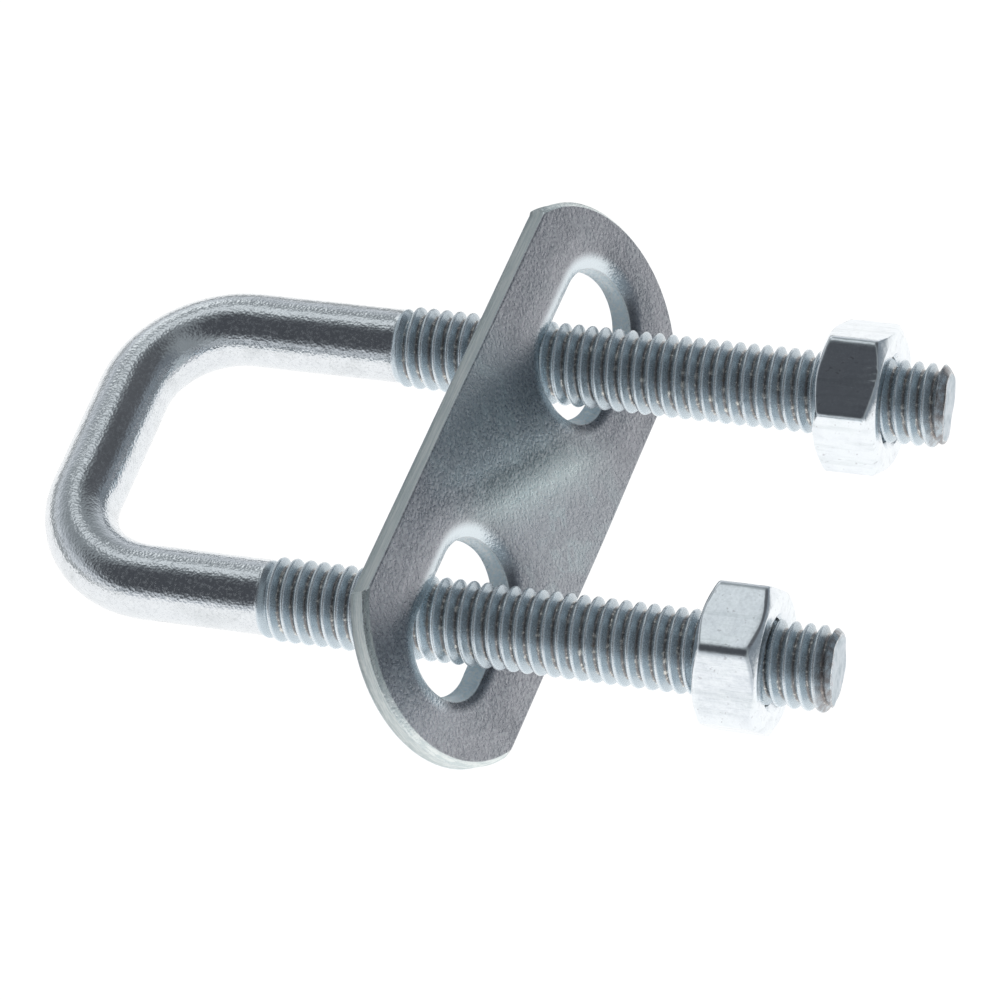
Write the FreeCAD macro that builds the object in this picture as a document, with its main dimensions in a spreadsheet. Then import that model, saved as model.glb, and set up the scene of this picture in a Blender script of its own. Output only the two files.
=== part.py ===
import FreeCAD, Part
import math
import os
import Sketcher

# U-bolt clamp: a square-bend U-bolt with two threaded legs, a slotted clamp
# plate that hangs loose on both legs, and one hex nut near the end of each
# leg.  Millimetres.  The clamp lies on a flat surface: the bow and the
# plate's lower long edge touch it, and the legs rise a little towards the
# nuts.  +X runs from the bow to the nuts, +Y from the near leg to the far
# leg, +Z up.

os.makedirs("parts", exist_ok=True)
V = FreeCAD.Vector
doc = FreeCAD.newDocument("ubolt_clamp")

# ---------------------------------------------------------------- dimensions
sheet = doc.addObject("Spreadsheet::Sheet", "sizes")
DIMS = [
    ("leg_spacing", 24.2, "leg centre to leg centre; 18.9 clear inside"),
    ("shank_dia", 5.3, "plain bar, the blank that an M6 thread is rolled on"),
    ("crest_dia", 5.88, "M6 thread crest"),
    ("bend_rad", 7.2, "bend radius on the bar's centre line"),
    ("far_leg", 59.3, "bow centre line to the far leg's end"),
    ("near_leg", 57.8, "bow centre line to the near leg's end"),
    ("far_thread", 18.2, "bow centre line to the far leg's thread"),
    ("near_thread", 16.2, "bow centre line to the near leg's thread"),
    ("runout_len", 0.6, "cone between plain bar and thread crest"),
    ("end_bevel", 0.3, "bevel on the sheared leg ends"),
    ("plate_width", 17.4, "clamp plate, across the straight long edges"),
    ("plate_straight", 36.5, "clamp plate, length of the straight edges"),
    ("plate_arc", 9.85, "clamp plate, radius of the two ends"),
    ("plate_thick", 1.65, "clamp plate sheet thickness"),
    ("slot_width", 7.6, "leg slots across"),
    ("slot_length", 12.6, "leg slots end to end"),
    ("slot_pitch", 26.0, "slot centre to slot centre"),
    ("slot_roll", 0.5, "rolled-over front edge of the punched slots"),
    ("nut_flats", 9.8, "nut across flats"),
    ("nut_height", 4.6, "nut height"),
    ("nut_bore", 5.98, "nut bore, running clearance over the crests"),
    ("nut_face", 9.4, "diameter of the flat end faces"),
    ("nut_sink", 0.4, "countersink at both ends of the bore"),
    ("near_nut_at", 53.15, "bow centre line to the near nut's outer face"),
    ("far_nut_at", 54.95, "bow centre line to the far nut's outer face"),
    ("near_nut_turn", 63.9, "degrees, corner of the near nut from +Y"),
    ("far_nut_turn", 26.5, "degrees, corner of the far nut from +Y"),
    ("plate_at", 31.5, "bow centre line to the plate's front face centre"),
    ("plate_shift", 1.1, "plate centre off the U's middle, to the far leg"),
    ("plate_lean", 25.8, "degrees, plate off square to the legs"),
    ("plate_yaw", 2.4, "degrees, plate turned about the vertical"),
]
for row, (name, value, note) in enumerate(DIMS, start=1):
    sheet.set("A%d" % row, name)
    sheet.set("B%d" % row, repr(value))
    sheet.setAlias("B%d" % row, name)
    sheet.set("C%d" % row, note)
doc.recompute()


def val(name):
    return float(getattr(sheet, name))


S, RB = val("leg_spacing"), val("bend_rad")
RS, RC = val("shank_dia") / 2, val("crest_dia") / 2


# ------------------------------------------------------------------- helpers
def plane(body, role):
    for feature in body.Origin.OriginFeatures:
        if feature.Role == role:
            return feature
    raise RuntimeError("no plane " + role)


def sketch_on(body, name, role, offset=None):
    sk = body.newObject("Sketcher::SketchObject", name)
    sk.AttachmentSupport = (plane(body, role), [""])
    sk.MapMode = "FlatFace"
    if offset:
        sk.setExpression("AttachmentOffset.Base.z", offset)
    doc.recompute()
    return sk


C = Sketcher.Constraint


def dim(sk, constraint, expression):
    """Add a driving dimension and bind it to the sheet."""
    i = sk.addConstraint(constraint)
    sk.setExpression("Constraints[%d]" % i, expression)
    return i


def line(sk, a, b, construction=False):
    return sk.addGeometry(Part.LineSegment(V(a[0], a[1], 0), V(b[0], b[1], 0)),
                          construction)


def arc(sk, centre, radius, a0, a1):
    circle = Part.Circle(V(centre[0], centre[1], 0), V(0, 0, 1), radius)
    return sk.addGeometry(Part.ArcOfCircle(circle, math.radians(a0),
                                           math.radians(a1)), False)


def closed(sk):
    doc.recompute()
    if sk.solve() != 0 or not sk.FullyConstrained:
        raise RuntimeError("sketch %s isn't fully constrained" % sk.Name)


# -------------------------------------------------------------------- U-bolt
# Built flat: legs along +X at Y = +-leg_spacing/2, bow centre line on the Y
# axis.
ubolt = doc.addObject("PartDesign::Body", "u_bolt")
ubolt.Label = "u_bolt"

path = sketch_on(ubolt, "bow_path", "XY_Plane")
XF, XN = val("far_thread"), val("near_thread")
line(path, (XF, S / 2), (RB, S / 2))
arc(path, (RB, S / 2 - RB), RB, 90, 180)
line(path, (0, S / 2 - RB), (0, -S / 2 + RB))
arc(path, (RB, -S / 2 + RB), RB, 180, 270)
line(path, (RB, -S / 2), (XN, -S / 2))
path.addConstraint([
    C("Tangent", 0, 2, 1, 1), C("Tangent", 1, 2, 2, 1),
    C("Tangent", 2, 2, 3, 1), C("Tangent", 3, 2, 4, 1),
    C("Horizontal", 0), C("Vertical", 2), C("Horizontal", 4),
    C("Equal", 1, 3), C("PointOnObject", 2, 1, -2)])
dim(path, C("Radius", 1, RB), "sizes.bend_rad")
dim(path, C("DistanceX", -1, 1, 0, 1, XF), "sizes.far_thread")
dim(path, C("DistanceX", -1, 1, 4, 2, XN), "sizes.near_thread")
dim(path, C("DistanceY", -1, 1, 0, 1, S / 2), "sizes.leg_spacing / 2")
dim(path, C("DistanceY", 4, 2, 0, 1, S), "sizes.leg_spacing")
closed(path)

section = sketch_on(ubolt, "bar_section", "YZ_Plane", "sizes.far_thread")
section.addGeometry(Part.Circle(V(S / 2, 0, 0), V(0, 0, 1), RS), False)
dim(section, C("Diameter", 0, 2 * RS), "sizes.shank_dia")
dim(section, C("DistanceX", -1, 1, 0, 3, S / 2), "sizes.leg_spacing / 2")
section.addConstraint(C("PointOnObject", 0, 3, -1))
closed(section)

bar = ubolt.newObject("PartDesign::AdditivePipe", "bent_bar")
bar.Profile = section
bar.Spine = (path, ["Edge1", "Edge2", "Edge3", "Edge4", "Edge5"])
doc.recompute()


def threaded_leg(name, side, start, end):
    """Thread envelope of one leg: run-out cone, crest cylinder, end bevel."""
    y0 = side * S / 2
    x0 = val(start)
    x1 = val(end)
    run, bev = val("runout_len"), val("end_bevel")
    sk = sketch_on(ubolt, name + "_profile", "XY_Plane")
    pts = [(x0, y0), (x1, y0), (x1, y0 + RC - bev), (x1 - bev, y0 + RC),
           (x0 + run, y0 + RC), (x0, y0 + RS)]
    for i in range(6):
        line(sk, pts[i], pts[(i + 1) % 6])
    line(sk, (x0, y0), (x1, y0), True)
    for i in range(6):
        sk.addConstraint(C("Coincident", i, 2, (i + 1) % 6, 1))
    sk.addConstraint([
        C("Coincident", 6, 1, 0, 1), C("Coincident", 6, 2, 0, 2),
        C("Horizontal", 0), C("Vertical", 1), C("Horizontal", 3),
        C("Vertical", 5)])
    dim(sk, C("DistanceX", -1, 1, 0, 1, x0), "sizes." + start)
    dim(sk, C("DistanceX", -1, 1, 0, 2, x1), "sizes." + end)
    if side > 0:
        dim(sk, C("DistanceY", -1, 1, 0, 1, S / 2), "sizes.leg_spacing / 2")
    else:
        dim(sk, C("DistanceY", 0, 1, -1, 1, S / 2), "sizes.leg_spacing / 2")
    dim(sk, C("DistanceY", 0, 1, 4, 2, RS), "sizes.shank_dia / 2")
    dim(sk, C("DistanceY", 0, 1, 3, 2, RC), "sizes.crest_dia / 2")
    dim(sk, C("DistanceX", 4, 2, 4, 1, run), "sizes.runout_len")
    dim(sk, C("DistanceX", 2, 2, 2, 1, bev), "sizes.end_bevel")
    dim(sk, C("DistanceY", 2, 1, 2, 2, bev), "sizes.end_bevel")
    closed(sk)
    rev = ubolt.newObject("PartDesign::Revolution", name)
    rev.Profile = sk
    rev.ReferenceAxis = (sk, ["Axis0"])
    rev.Angle = 360.0
    doc.recompute()
    return rev


threaded_leg("far_leg_thread", 1, "far_thread", "far_leg")
threaded_leg("near_leg_thread", -1, "near_thread", "near_leg")

# --------------------------------------------------------------- clamp plate
# Front face (towards the nuts) on the XY plane, width along X, length along
# Y, sheet thickness towards -Z.
plate = doc.addObject("PartDesign::Body", "clamp_plate")
plate.Label = "clamp_plate"
W, LS, RE, T = (val("plate_width"), val("plate_straight"), val("plate_arc"),
                val("plate_thick"))
outline = sketch_on(plate, "plate_outline", "XY_Plane")
drop = math.sqrt(RE * RE - W * W / 4)
half = math.degrees(math.asin(W / 2 / RE))
line(outline, (W / 2, -LS / 2), (W / 2, LS / 2))
arc(outline, (0, LS / 2 - drop), RE, 90 - half, 90 + half)
line(outline, (-W / 2, LS / 2), (-W / 2, -LS / 2))
arc(outline, (0, -LS / 2 + drop), RE, 270 - half, 270 + half)
outline.addConstraint([
    C("Coincident", 0, 2, 1, 1), C("Coincident", 1, 2, 2, 1),
    C("Coincident", 2, 2, 3, 1), C("Coincident", 3, 2, 0, 1),
    C("Vertical", 0), C("Vertical", 2), C("Equal", 1, 3),
    C("PointOnObject", 1, 3, -2), C("PointOnObject", 3, 3, -2)])
dim(outline, C("Radius", 1, RE), "sizes.plate_arc")
dim(outline, C("DistanceX", -1, 1, 0, 1, W / 2), "sizes.plate_width / 2")
dim(outline, C("DistanceX", 2, 2, 0, 1, W), "sizes.plate_width")
dim(outline, C("DistanceY", -1, 1, 0, 2, LS / 2), "sizes.plate_straight / 2")
dim(outline, C("DistanceY", 0, 1, 0, 2, LS), "sizes.plate_straight")
closed(outline)
blank = plate.newObject("PartDesign::Pad", "plate_blank")
blank.Profile = outline
blank.Reversed = True
blank.setExpression("Length", "sizes.plate_thick")
doc.recompute()
solid_volume = plate.Shape.Volume


def slot(name, side):
    rw, ln, pitch = (val("slot_width") / 2, val("slot_length"),
                     val("slot_pitch"))
    mid, reach = side * pitch / 2, ln / 2 - rw
    sk = sketch_on(plate, name + "_outline", "XY_Plane")
    line(sk, (rw, mid - reach), (rw, mid + reach))
    arc(sk, (0, mid + reach), rw, 0, 180)
    line(sk, (-rw, mid + reach), (-rw, mid - reach))
    arc(sk, (0, mid - reach), rw, 180, 360)
    sk.addConstraint([
        C("Tangent", 0, 2, 1, 1), C("Tangent", 1, 2, 2, 1),
        C("Tangent", 2, 2, 3, 1), C("Tangent", 3, 2, 0, 1),
        C("Vertical", 0), C("Equal", 1, 3), C("PointOnObject", 1, 3, -2)])
    dim(sk, C("Radius", 1, rw), "sizes.slot_width / 2")
    high = "(sizes.slot_pitch + sizes.slot_length - sizes.slot_width) / 2"
    low = "(sizes.slot_pitch - sizes.slot_length + sizes.slot_width) / 2"
    if side > 0:
        dim(sk, C("DistanceY", -1, 1, 1, 3, mid + reach), high)
        dim(sk, C("DistanceY", -1, 1, 3, 3, mid - reach), low)
    else:
        dim(sk, C("DistanceY", 1, 3, -1, 1, -mid - reach), low)
        dim(sk, C("DistanceY", 3, 3, -1, 1, -mid + reach), high)
    closed(sk)
    cut = plate.newObject("PartDesign::Pocket", name)
    cut.Profile = sk
    cut.Reversed = False
    cut.Type = "Length"
    cut.setExpression("Length", "sizes.plate_thick + 1")
    doc.recompute()
    return cut


cut_far = slot("far_slot", 1)
cut_near = slot("near_slot", -1)
rw = val("slot_width") / 2
slot_area = math.pi * rw * rw + 2 * rw * (val("slot_length") - 2 * rw)
removed = solid_volume - plate.Shape.Volume
if abs(removed - 2 * slot_area * T) > 0.01:
    raise RuntimeError("slots cut %.3f, not %.3f" % (removed, 2 * slot_area * T))


def front_slot_edges(shape):
    names = []
    for i, edge in enumerate(shape.Edges, start=1):
        box = edge.BoundBox
        if box.ZMin > -1e-6 and box.XMax < rw + 0.01 and box.XMin > -rw - 0.01:
            names.append("Edge%d" % i)
    return names


roll = plate.newObject("PartDesign::Fillet", "slot_roll_over")
edges = front_slot_edges(cut_near.Shape)
if len(edges) != 8:
    raise RuntimeError("expected 8 slot edges, found %d" % len(edges))
roll.Base = (cut_near, edges)
roll.setExpression("Radius", "sizes.slot_roll")
doc.recompute()


# ---------------------------------------------------------------------- nuts
# Axis on Z, inner face at Z = 0, a corner on +X.
def hex_nut(label):
    body = doc.addObject("PartDesign::Body", label)
    body.Label = label
    rc = val("nut_flats") / math.sqrt(3)
    high = val("nut_height")
    sk = sketch_on(body, label + "_hexagon", "XY_Plane")
    corners = [(rc * math.cos(math.radians(60 * i)),
                rc * math.sin(math.radians(60 * i))) for i in range(6)]
    for i in range(6):
        line(sk, corners[i], corners[(i + 1) % 6])
    guide = sk.addGeometry(Part.Circle(V(0, 0, 0), V(0, 0, 1), rc), True)
    bore = sk.addGeometry(Part.Circle(V(0, 0, 0), V(0, 0, 1),
                                      val("nut_bore") / 2), False)
    for i in range(6):
        sk.addConstraint(C("Coincident", i, 2, (i + 1) % 6, 1))
    for i in range(6):
        sk.addConstraint(C("PointOnObject", i, 1, guide))
    for i in range(1, 6):
        sk.addConstraint(C("Equal", 0, i))
    sk.addConstraint([C("Coincident", guide, 3, -1, 1),
                      C("Coincident", bore, 3, -1, 1),
                      C("PointOnObject", 0, 1, -1)])
    dim(sk, C("Radius", guide, rc), "sizes.nut_flats / sqrt(3)")
    dim(sk, C("Diameter", bore, val("nut_bore")), "sizes.nut_bore")
    closed(sk)
    pad = body.newObject("PartDesign::Pad", label + "_blank")
    pad.Profile = sk
    pad.setExpression("Length", "sizes.nut_height")
    doc.recompute()
    full = body.Shape.Volume

    # 30 degree bevel of the corners at both ends
    rf, ro = val("nut_face") / 2, val("nut_flats") / 2 + 1.2
    fall = (ro - rf) * math.tan(math.radians(30))
    sk = sketch_on(body, label + "_bevel", "XZ_Plane")
    line(sk, (rf, high), (ro, high))
    line(sk, (ro, high), (ro, high - fall))
    line(sk, (ro, high - fall), (rf, high))
    line(sk, (rf, 0), (ro, fall))
    line(sk, (ro, fall), (ro, 0))
    line(sk, (ro, 0), (rf, 0))
    line(sk, (0, 0), (0, high), True)
    sk.addConstraint([
        C("Coincident", 0, 2, 1, 1), C("Coincident", 1, 2, 2, 1),
        C("Coincident", 2, 2, 0, 1), C("Coincident", 3, 2, 4, 1),
        C("Coincident", 4, 2, 5, 1), C("Coincident", 5, 2, 3, 1),
        C("Horizontal", 0), C("Vertical", 1), C("Vertical", 4),
        C("Horizontal", 5), C("PointOnObject", 5, 2, -1),
        C("Coincident", 6, 1, -1, 1), C("PointOnObject", 6, 2, -2),
        C("Equal", 1, 4), C("Equal", 0, 5)])
    dim(sk, C("DistanceX", -1, 1, 0, 1, rf), "sizes.nut_face / 2")
    dim(sk, C("DistanceX", -1, 1, 3, 1, rf), "sizes.nut_face / 2")
    dim(sk, C("DistanceX", 0, 1, 0, 2, ro - rf),
        "sizes.nut_flats / 2 + 1.2 - sizes.nut_face / 2")
    dim(sk, C("DistanceY", -1, 1, 0, 1, high), "sizes.nut_height")
    dim(sk, C("DistanceY", -1, 1, 6, 2, high), "sizes.nut_height")
    dim(sk, C("DistanceY", 1, 2, 1, 1, fall),
        "(sizes.nut_flats / 2 + 1.2 - sizes.nut_face / 2) * tan(30 deg)")
    closed(sk)
    bevel = body.newObject("PartDesign::Groove", label + "_bevels")
    bevel.Profile = sk
    bevel.ReferenceAxis = (sk, ["Axis0"])
    bevel.Angle = 360.0
    doc.recompute()
    if not body.Shape.Volume < full - 1.0:
        raise RuntimeError("the bevels of %s cut nothing" % label)

    sink = body.newObject("PartDesign::Chamfer", label + "_countersinks")
    names = []
    for i, edge in enumerate(bevel.Shape.Edges, start=1):
        curve = edge.Curve
        if isinstance(curve, Part.Circle) and \
                abs(curve.Radius - val("nut_bore") / 2) < 1e-6:
            names.append("Edge%d" % i)
    if len(names) != 2:
        raise RuntimeError("expected 2 bore edges, found %d" % len(names))
    sink.Base = (bevel, names)
    sink.setExpression("Size", "sizes.nut_sink")
    doc.recompute()
    return body


far_nut = hex_nut("far_nut")
near_nut = hex_nut("near_nut")

# ----------------------------------------------------------------- placement
# The U lies on its bow, and the plate's lower back edge touches the same
# surface.  The lie angle follows from the two contacts.
lean = math.radians(val("plate_lean"))
yaw = math.radians(val("plate_yaw"))


def gap(lie):
    """Height of the plate's lowest edge over the bow's lowest line."""
    eps = lean + lie
    centre = RS + val("plate_at") * math.sin(lie) \
        + T / 2 * math.sin(lean) * math.cos(lie)
    return centre - W / 2 * math.cos(eps) - T * math.sin(eps)


low, high = 0.0, math.radians(25)
for _ in range(60):
    mid = (low + high) / 2
    if gap(mid) > 0:
        high = mid
    else:
        low = mid
lie = (low + high) / 2
eps = lean + lie

leg_dir = V(math.cos(lie), 0, math.sin(lie))
up_dir = V(-math.sin(lie), 0, math.cos(lie))
side_dir = V(0, 1, 0)


def at(x, y, z):
    """A point given along the legs, across them and off the U's plane."""
    return leg_dir * x + side_dir * y + up_dir * z + V(0, 0, RS)


def turn(x_axis, y_axis, z_axis):
    return FreeCAD.Rotation(x_axis, y_axis, z_axis, "ZXY")


n_dir = V(math.cos(eps) * math.cos(yaw), -math.cos(eps) * math.sin(yaw),
          math.sin(eps))
v_dir = V(math.sin(yaw), math.cos(yaw), 0)
u_dir = v_dir.cross(n_dir)

placed = {}
placed[ubolt] = (turn(leg_dir, side_dir, up_dir), at(0, 0, 0))
placed[plate] = (turn(u_dir, v_dir, n_dir),
                 at(val("plate_at"), val("plate_shift"),
                    T / 2 * math.sin(lean)))
for body, side, where, angle in (
        (far_nut, 1, val("far_nut_at"), val("far_nut_turn")),
        (near_nut, -1, val("near_nut_at"), val("near_nut_turn"))):
    a = math.radians(angle)
    corner = side_dir * math.cos(a) + up_dir * math.sin(a)
    placed[body] = (turn(corner, leg_dir.cross(corner), leg_dir),
                    at(where - val("nut_height"), side * S / 2, 0))
for body, (rotation, base) in placed.items():
    body.Placement = FreeCAD.Placement(base, rotation)
doc.recompute()

# origin: middle of the footprint, on the surface
box = FreeCAD.BoundBox()
for body in placed:
    box.add(body.Shape.optimalBoundingBox(True, False))
shift = V(-box.Center.x, -box.Center.y, -box.ZMin)
for body, (rotation, base) in placed.items():
    body.Placement = FreeCAD.Placement(base + shift, rotation)
doc.recompute()

# -------------------------------------------------------------------- checks
for obj in doc.Objects:
    if "Invalid" in obj.State or "Error" in obj.State:
        raise RuntimeError("%s: %s" % (obj.Name, obj.State))
for body in placed:
    shape = body.Shape
    if shape.isNull() or not shape.isValid() or len(shape.Solids) != 1:
        raise RuntimeError("bad shape in " + body.Label)
    b = shape.optimalBoundingBox(True, False)
    print("%-12s volume %8.2f  x %7.3f..%7.3f  y %7.3f..%7.3f  z %7.3f..%7.3f"
          % (body.Label, shape.Volume, b.XMin, b.XMax, b.YMin, b.YMax,
             b.ZMin, b.ZMax))
bodies = list(placed)
for i, a in enumerate(bodies):
    for b in bodies[i + 1:]:
        overlap = a.Shape.common(b.Shape).Volume
        print("%s / %s: overlap %.6f, gap %.3f"
              % (a.Label, b.Label, overlap, a.Shape.distToShape(b.Shape)[0]))
        if overlap > 1e-6:
            raise RuntimeError("%s and %s overlap" % (a.Label, b.Label))
print("lie %.4f deg, shift (%.4f, %.4f, %.4f)"
      % (math.degrees(lie), shift.x, shift.y, shift.z))
print("leg direction (%.6f, 0, %.6f)" % (leg_dir.x, leg_dir.z))

for body in placed:
    body.Shape.exportStep("parts/%s.step" % body.Label)
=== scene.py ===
import math

import bmesh
import bpy
import numpy as np
from mathutils import Matrix, Vector


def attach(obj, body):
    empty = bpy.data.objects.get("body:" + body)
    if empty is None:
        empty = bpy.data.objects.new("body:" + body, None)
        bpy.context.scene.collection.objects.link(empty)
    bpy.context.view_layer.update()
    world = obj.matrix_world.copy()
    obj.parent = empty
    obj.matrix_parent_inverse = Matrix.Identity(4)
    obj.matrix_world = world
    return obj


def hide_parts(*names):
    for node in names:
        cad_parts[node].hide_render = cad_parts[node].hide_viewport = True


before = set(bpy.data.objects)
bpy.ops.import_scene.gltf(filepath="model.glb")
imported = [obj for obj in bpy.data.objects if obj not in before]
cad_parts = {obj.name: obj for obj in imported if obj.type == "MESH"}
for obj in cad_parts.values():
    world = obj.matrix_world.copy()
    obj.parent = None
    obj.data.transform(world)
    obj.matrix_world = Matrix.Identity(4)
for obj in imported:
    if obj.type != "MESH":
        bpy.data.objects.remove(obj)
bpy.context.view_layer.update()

# ------------------------------------------------------------------ the frame
# Sizes in millimetres, as in the CAD: legs along X, far leg at +Y, Z off the
# plane of the U.  row() puts a point into the row frame, in metres.
S, RS, RC, RB = 24.2, 2.65, 2.94, 7.2
FAR_L, NEAR_L, FAR_T, NEAR_T = 59.3, 57.8, 18.2, 16.2
W, LS, RE, T = 17.4, 36.5, 9.85, 1.65
SW, SL, SP = 7.3, 12.7, 26.0     # the slot's sharp front edge
SU = 0.16                        # its centre line, off the plate's
AF, NH, NBORE, NFACE = 9.8, 4.6, 5.98, 9.4
LIE, LEAN, YAW = math.radians(9.2534), math.radians(25.8), math.radians(2.4)
SHIFT = np.array([-28.1514, -1.1283, 0.0])
LEG_DIR = np.array([math.cos(LIE), 0, math.sin(LIE)])
UP_DIR = np.array([-math.sin(LIE), 0, math.cos(LIE)])
SIDE = np.array([0.0, 1.0, 0.0])


def row(P):
    P = np.atleast_2d(np.asarray(P, float))
    return (P[:, :1] * LEG_DIR + P[:, 1:2] * SIDE + P[:, 2:3] * UP_DIR
            + np.array([0, 0, RS]) + SHIFT) / 1000.0


def smooth(x, a=0.0, b=1.0):
    t = np.clip((np.asarray(x, float) - a) / (b - a), 0, 1)
    return t * t * (3 - 2 * t)


def wave(*terms):
    """A repeatable wandering number: sines at unrelated rates."""
    return sum(a * np.sin(f * x + p) for a, f, x, p in terms)


# ------------------------------------------------------------------- meshing
def make_object(name, verts, faces, layers=None, weld=1e-7, sharp=42.0):
    me = bpy.data.meshes.new(name)
    me.from_pydata([tuple(v) for v in verts], [], [tuple(f) for f in faces])
    for key, data in (layers or {}).items():
        data = np.asarray(data, np.float32)
        if data.ndim == 2:
            at = me.attributes.new(key, "FLOAT_VECTOR", "POINT")
            at.data.foreach_set("vector", data.reshape(-1))
        else:
            at = me.attributes.new(key, "FLOAT", "POINT")
            at.data.foreach_set("value", data)
    bm = bmesh.new()
    bm.from_mesh(me)
    bmesh.ops.remove_doubles(bm, verts=bm.verts, dist=weld)
    bmesh.ops.dissolve_degenerate(bm, edges=bm.edges, dist=weld)
    loose = [v for v in bm.verts if not v.link_faces]
    if loose:
        bmesh.ops.delete(bm, geom=loose, context="VERTS")
    bmesh.ops.recalc_face_normals(bm, faces=bm.faces)
    for f in bm.faces:
        f.smooth = True
    for e in bm.edges:
        if len(e.link_faces) == 2:
            e.smooth = e.calc_face_angle(0.0) < math.radians(sharp)
    open_edges = sum(1 for e in bm.edges if len(e.link_faces) != 2)
    bm.to_mesh(me)
    bm.free()
    ob = bpy.data.objects.new(name, me)
    bpy.context.scene.collection.objects.link(ob)
    print("%s: %d verts, %d faces, %d open edges" % (
        name, len(me.vertices), len(me.polygons), open_edges))
    return ob


# ---------------------------------------------------------------- the U-bolt
N = 72
PROFILE = np.array([0, .05, .10, .15, .36, .41, .46, .54, .59, .64, .85, .90,
                    .95])
PITCH = 1.0


def thread_radius(u):
    """Radius of a rolled M6 thread; u is the distance past a crest, in pitches."""
    d = np.abs((u + 0.5) % 1.0 - 0.5)
    crest = RC - 0.035 * (d / 0.10) ** 2
    flank = RC - 0.035 - (d - 0.10) * 1.80
    root = RC - 0.575 + 0.075 * ((0.5 - d) / 0.12) ** 2
    r = np.where(d < 0.10, crest, flank)
    return np.maximum(r, np.where(d > 0.38, root, 0))


def bar_radius(c, phi):
    """Plain bar: c is the place along the bent bar, in millimetres."""
    return RS - 0.012 + wave((0.006, 0.9, c, 0.4), (0.004, 2.3, c, 1.0)) \
        * np.cos(phi + 0.3 * c)


def end_plane(side, phi, rho=1.0):
    """Where the sheared leg end lies: a little skew and domed."""
    y, z = rho * np.cos(phi), rho * np.sin(phi)
    skew = -0.15 * y + 0.19 * z
    if side > 0:
        skew = skew - 0.05 * y
    return (FAR_L if side > 0 else NEAR_L) - 0.36 + skew \
        - 0.06 * rho ** 3 + 0.03 * np.sin(3 * phi + side) * rho \
        + 0.02 * np.sin(7 * phi) * rho


def leg(side, start, phase, verts, faces, depth, kind, burnt):
    base = len(verts)
    sA, sB = start, (FAR_L if side > 0 else NEAR_L) + 0.2
    K = len(PROFILE)
    j0 = int(math.floor((sA - phase - 1.0) / PITCH * N)) - N
    j1 = int(math.ceil((sB - phase) / PITCH * N)) + N
    J = np.arange(j0, j1 + 1)
    th = J / N * 2 * math.pi
    phi = th % (2 * math.pi)
    s = phase + PITCH * J[:, None] / N + PITCH * PROFILE[None, :]
    phi2 = np.repeat(phi[:, None], K, 1)
    s1 = end_plane(side, phi2)
    sc = np.clip(s, sA, s1)
    u = (sc - phase) / PITCH - phi2 / (2 * math.pi)
    r = thread_radius(u)
    # crest texture: rolled crests wander a little, and carry small nicks
    turn = 2 * math.pi * (sc - phase) / PITCH
    nick = np.clip(np.sin(turn * 0.731 + 1.3) * np.sin(turn * 2.17)
                   * np.sin(turn * 5.3 + 0.4) - 0.72, 0, 1)
    d = np.abs((u + 0.5) % 1.0 - 0.5)
    r = r - np.where(d < 0.16, 0.16 * nick + 0.006 * (1 + np.sin(
        turn * 9.1) * np.sin(turn * 3.7)), 0)
    # run-out from the plain bar, and the bevel at the sheared end
    fade = smooth(sc, sA, sA + 1.15)
    r = (RS - 0.012) + (r - (RS - 0.012)) * fade
    cap = RC - 0.34 + np.clip(s1 - sc, 0, None) * 0.8 \
        - 0.06 * np.abs(np.sin(2.5 * phi2 + side))
    r = np.minimum(r, cap)
    pts = np.stack([sc, side * S / 2 + r * np.cos(phi2),
                    r * np.sin(phi2)], -1).reshape(-1, 3)
    verts.extend(row(pts))
    dep = np.clip((RC - r) / 0.57, 0, 1) * fade
    depth.extend(dep.reshape(-1))
    kind.extend((smooth(sc, sA, sA + 0.5)).reshape(-1))
    burnt.extend(smooth(s1 - sc, 1.3, 0.5).reshape(-1))
    nj = len(J)

    def vid(j, k):
        if k == K:
            j, k = j + N, 0
        return base + j * K + k if j < nj else None
    for j in range(nj - 1):
        s_lo = phase + PITCH * J[j] / N
        if s_lo + 1.1 * PITCH < sA or s_lo - 0.1 > sB:
            continue
        for k in range(K):
            q = [vid(j, k), vid(j + 1, k), vid(j + 1, k + 1), vid(j, k + 1)]
            if None not in q:
                faces.append(q)
    # end cap: rings from the rim to the middle
    rim_phi = np.arange(N) / N * 2 * math.pi
    # read the rim back from the strip so that it welds
    flat = pts.reshape(nj, K, 3)
    rim = np.zeros((N, 3))
    for i in range(N):
        js = [j for j in range(nj) if J[j] % N == i]
        j = js[-1]
        rim[i] = flat[j, K - 1]
    rings = []
    b = len(verts)
    verts.extend(row(rim))
    depth.extend([0.0] * N)
    kind.extend([1.0] * N)
    burnt.extend([1.0] * N)
    rings.append([b + i for i in range(N)])
    centre = np.array([0, side * S / 2, 0.0])
    for f in (0.975, 0.93, 0.86, 0.74, 0.58, 0.40, 0.22):
        ring = centre + (rim - centre) * f
        ring[:, 0] = end_plane(side, rim_phi, f) \
            + (0.05 if f < 0.97 else 0.0) \
            + 0.035 * np.sin(5 * f + 3 * np.cos(rim_phi)) * (f < 0.95)
        b = len(verts)
        verts.extend(row(ring))
        depth.extend([0.0] * N)
        kind.extend([2.0 if f < 0.97 else 1.0] * N)
        burnt.extend([1.0] * N)
        rings.append([b + i for i in range(N)])
    for a, c in zip(rings, rings[1:]):
        for i in range(N):
            faces.append([a[i], a[(i + 1) % N], c[(i + 1) % N], c[i]])
    b = len(verts)
    verts.extend(row([[end_plane(side, 0.0, 0.0) + 0.05, side * S / 2, 0]]))
    depth.append(0.0)
    kind.append(2.0)
    burnt.append(0.0)
    for i in range(N):
        faces.append([rings[-1][i], rings[-1][(i + 1) % N], b])


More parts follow.
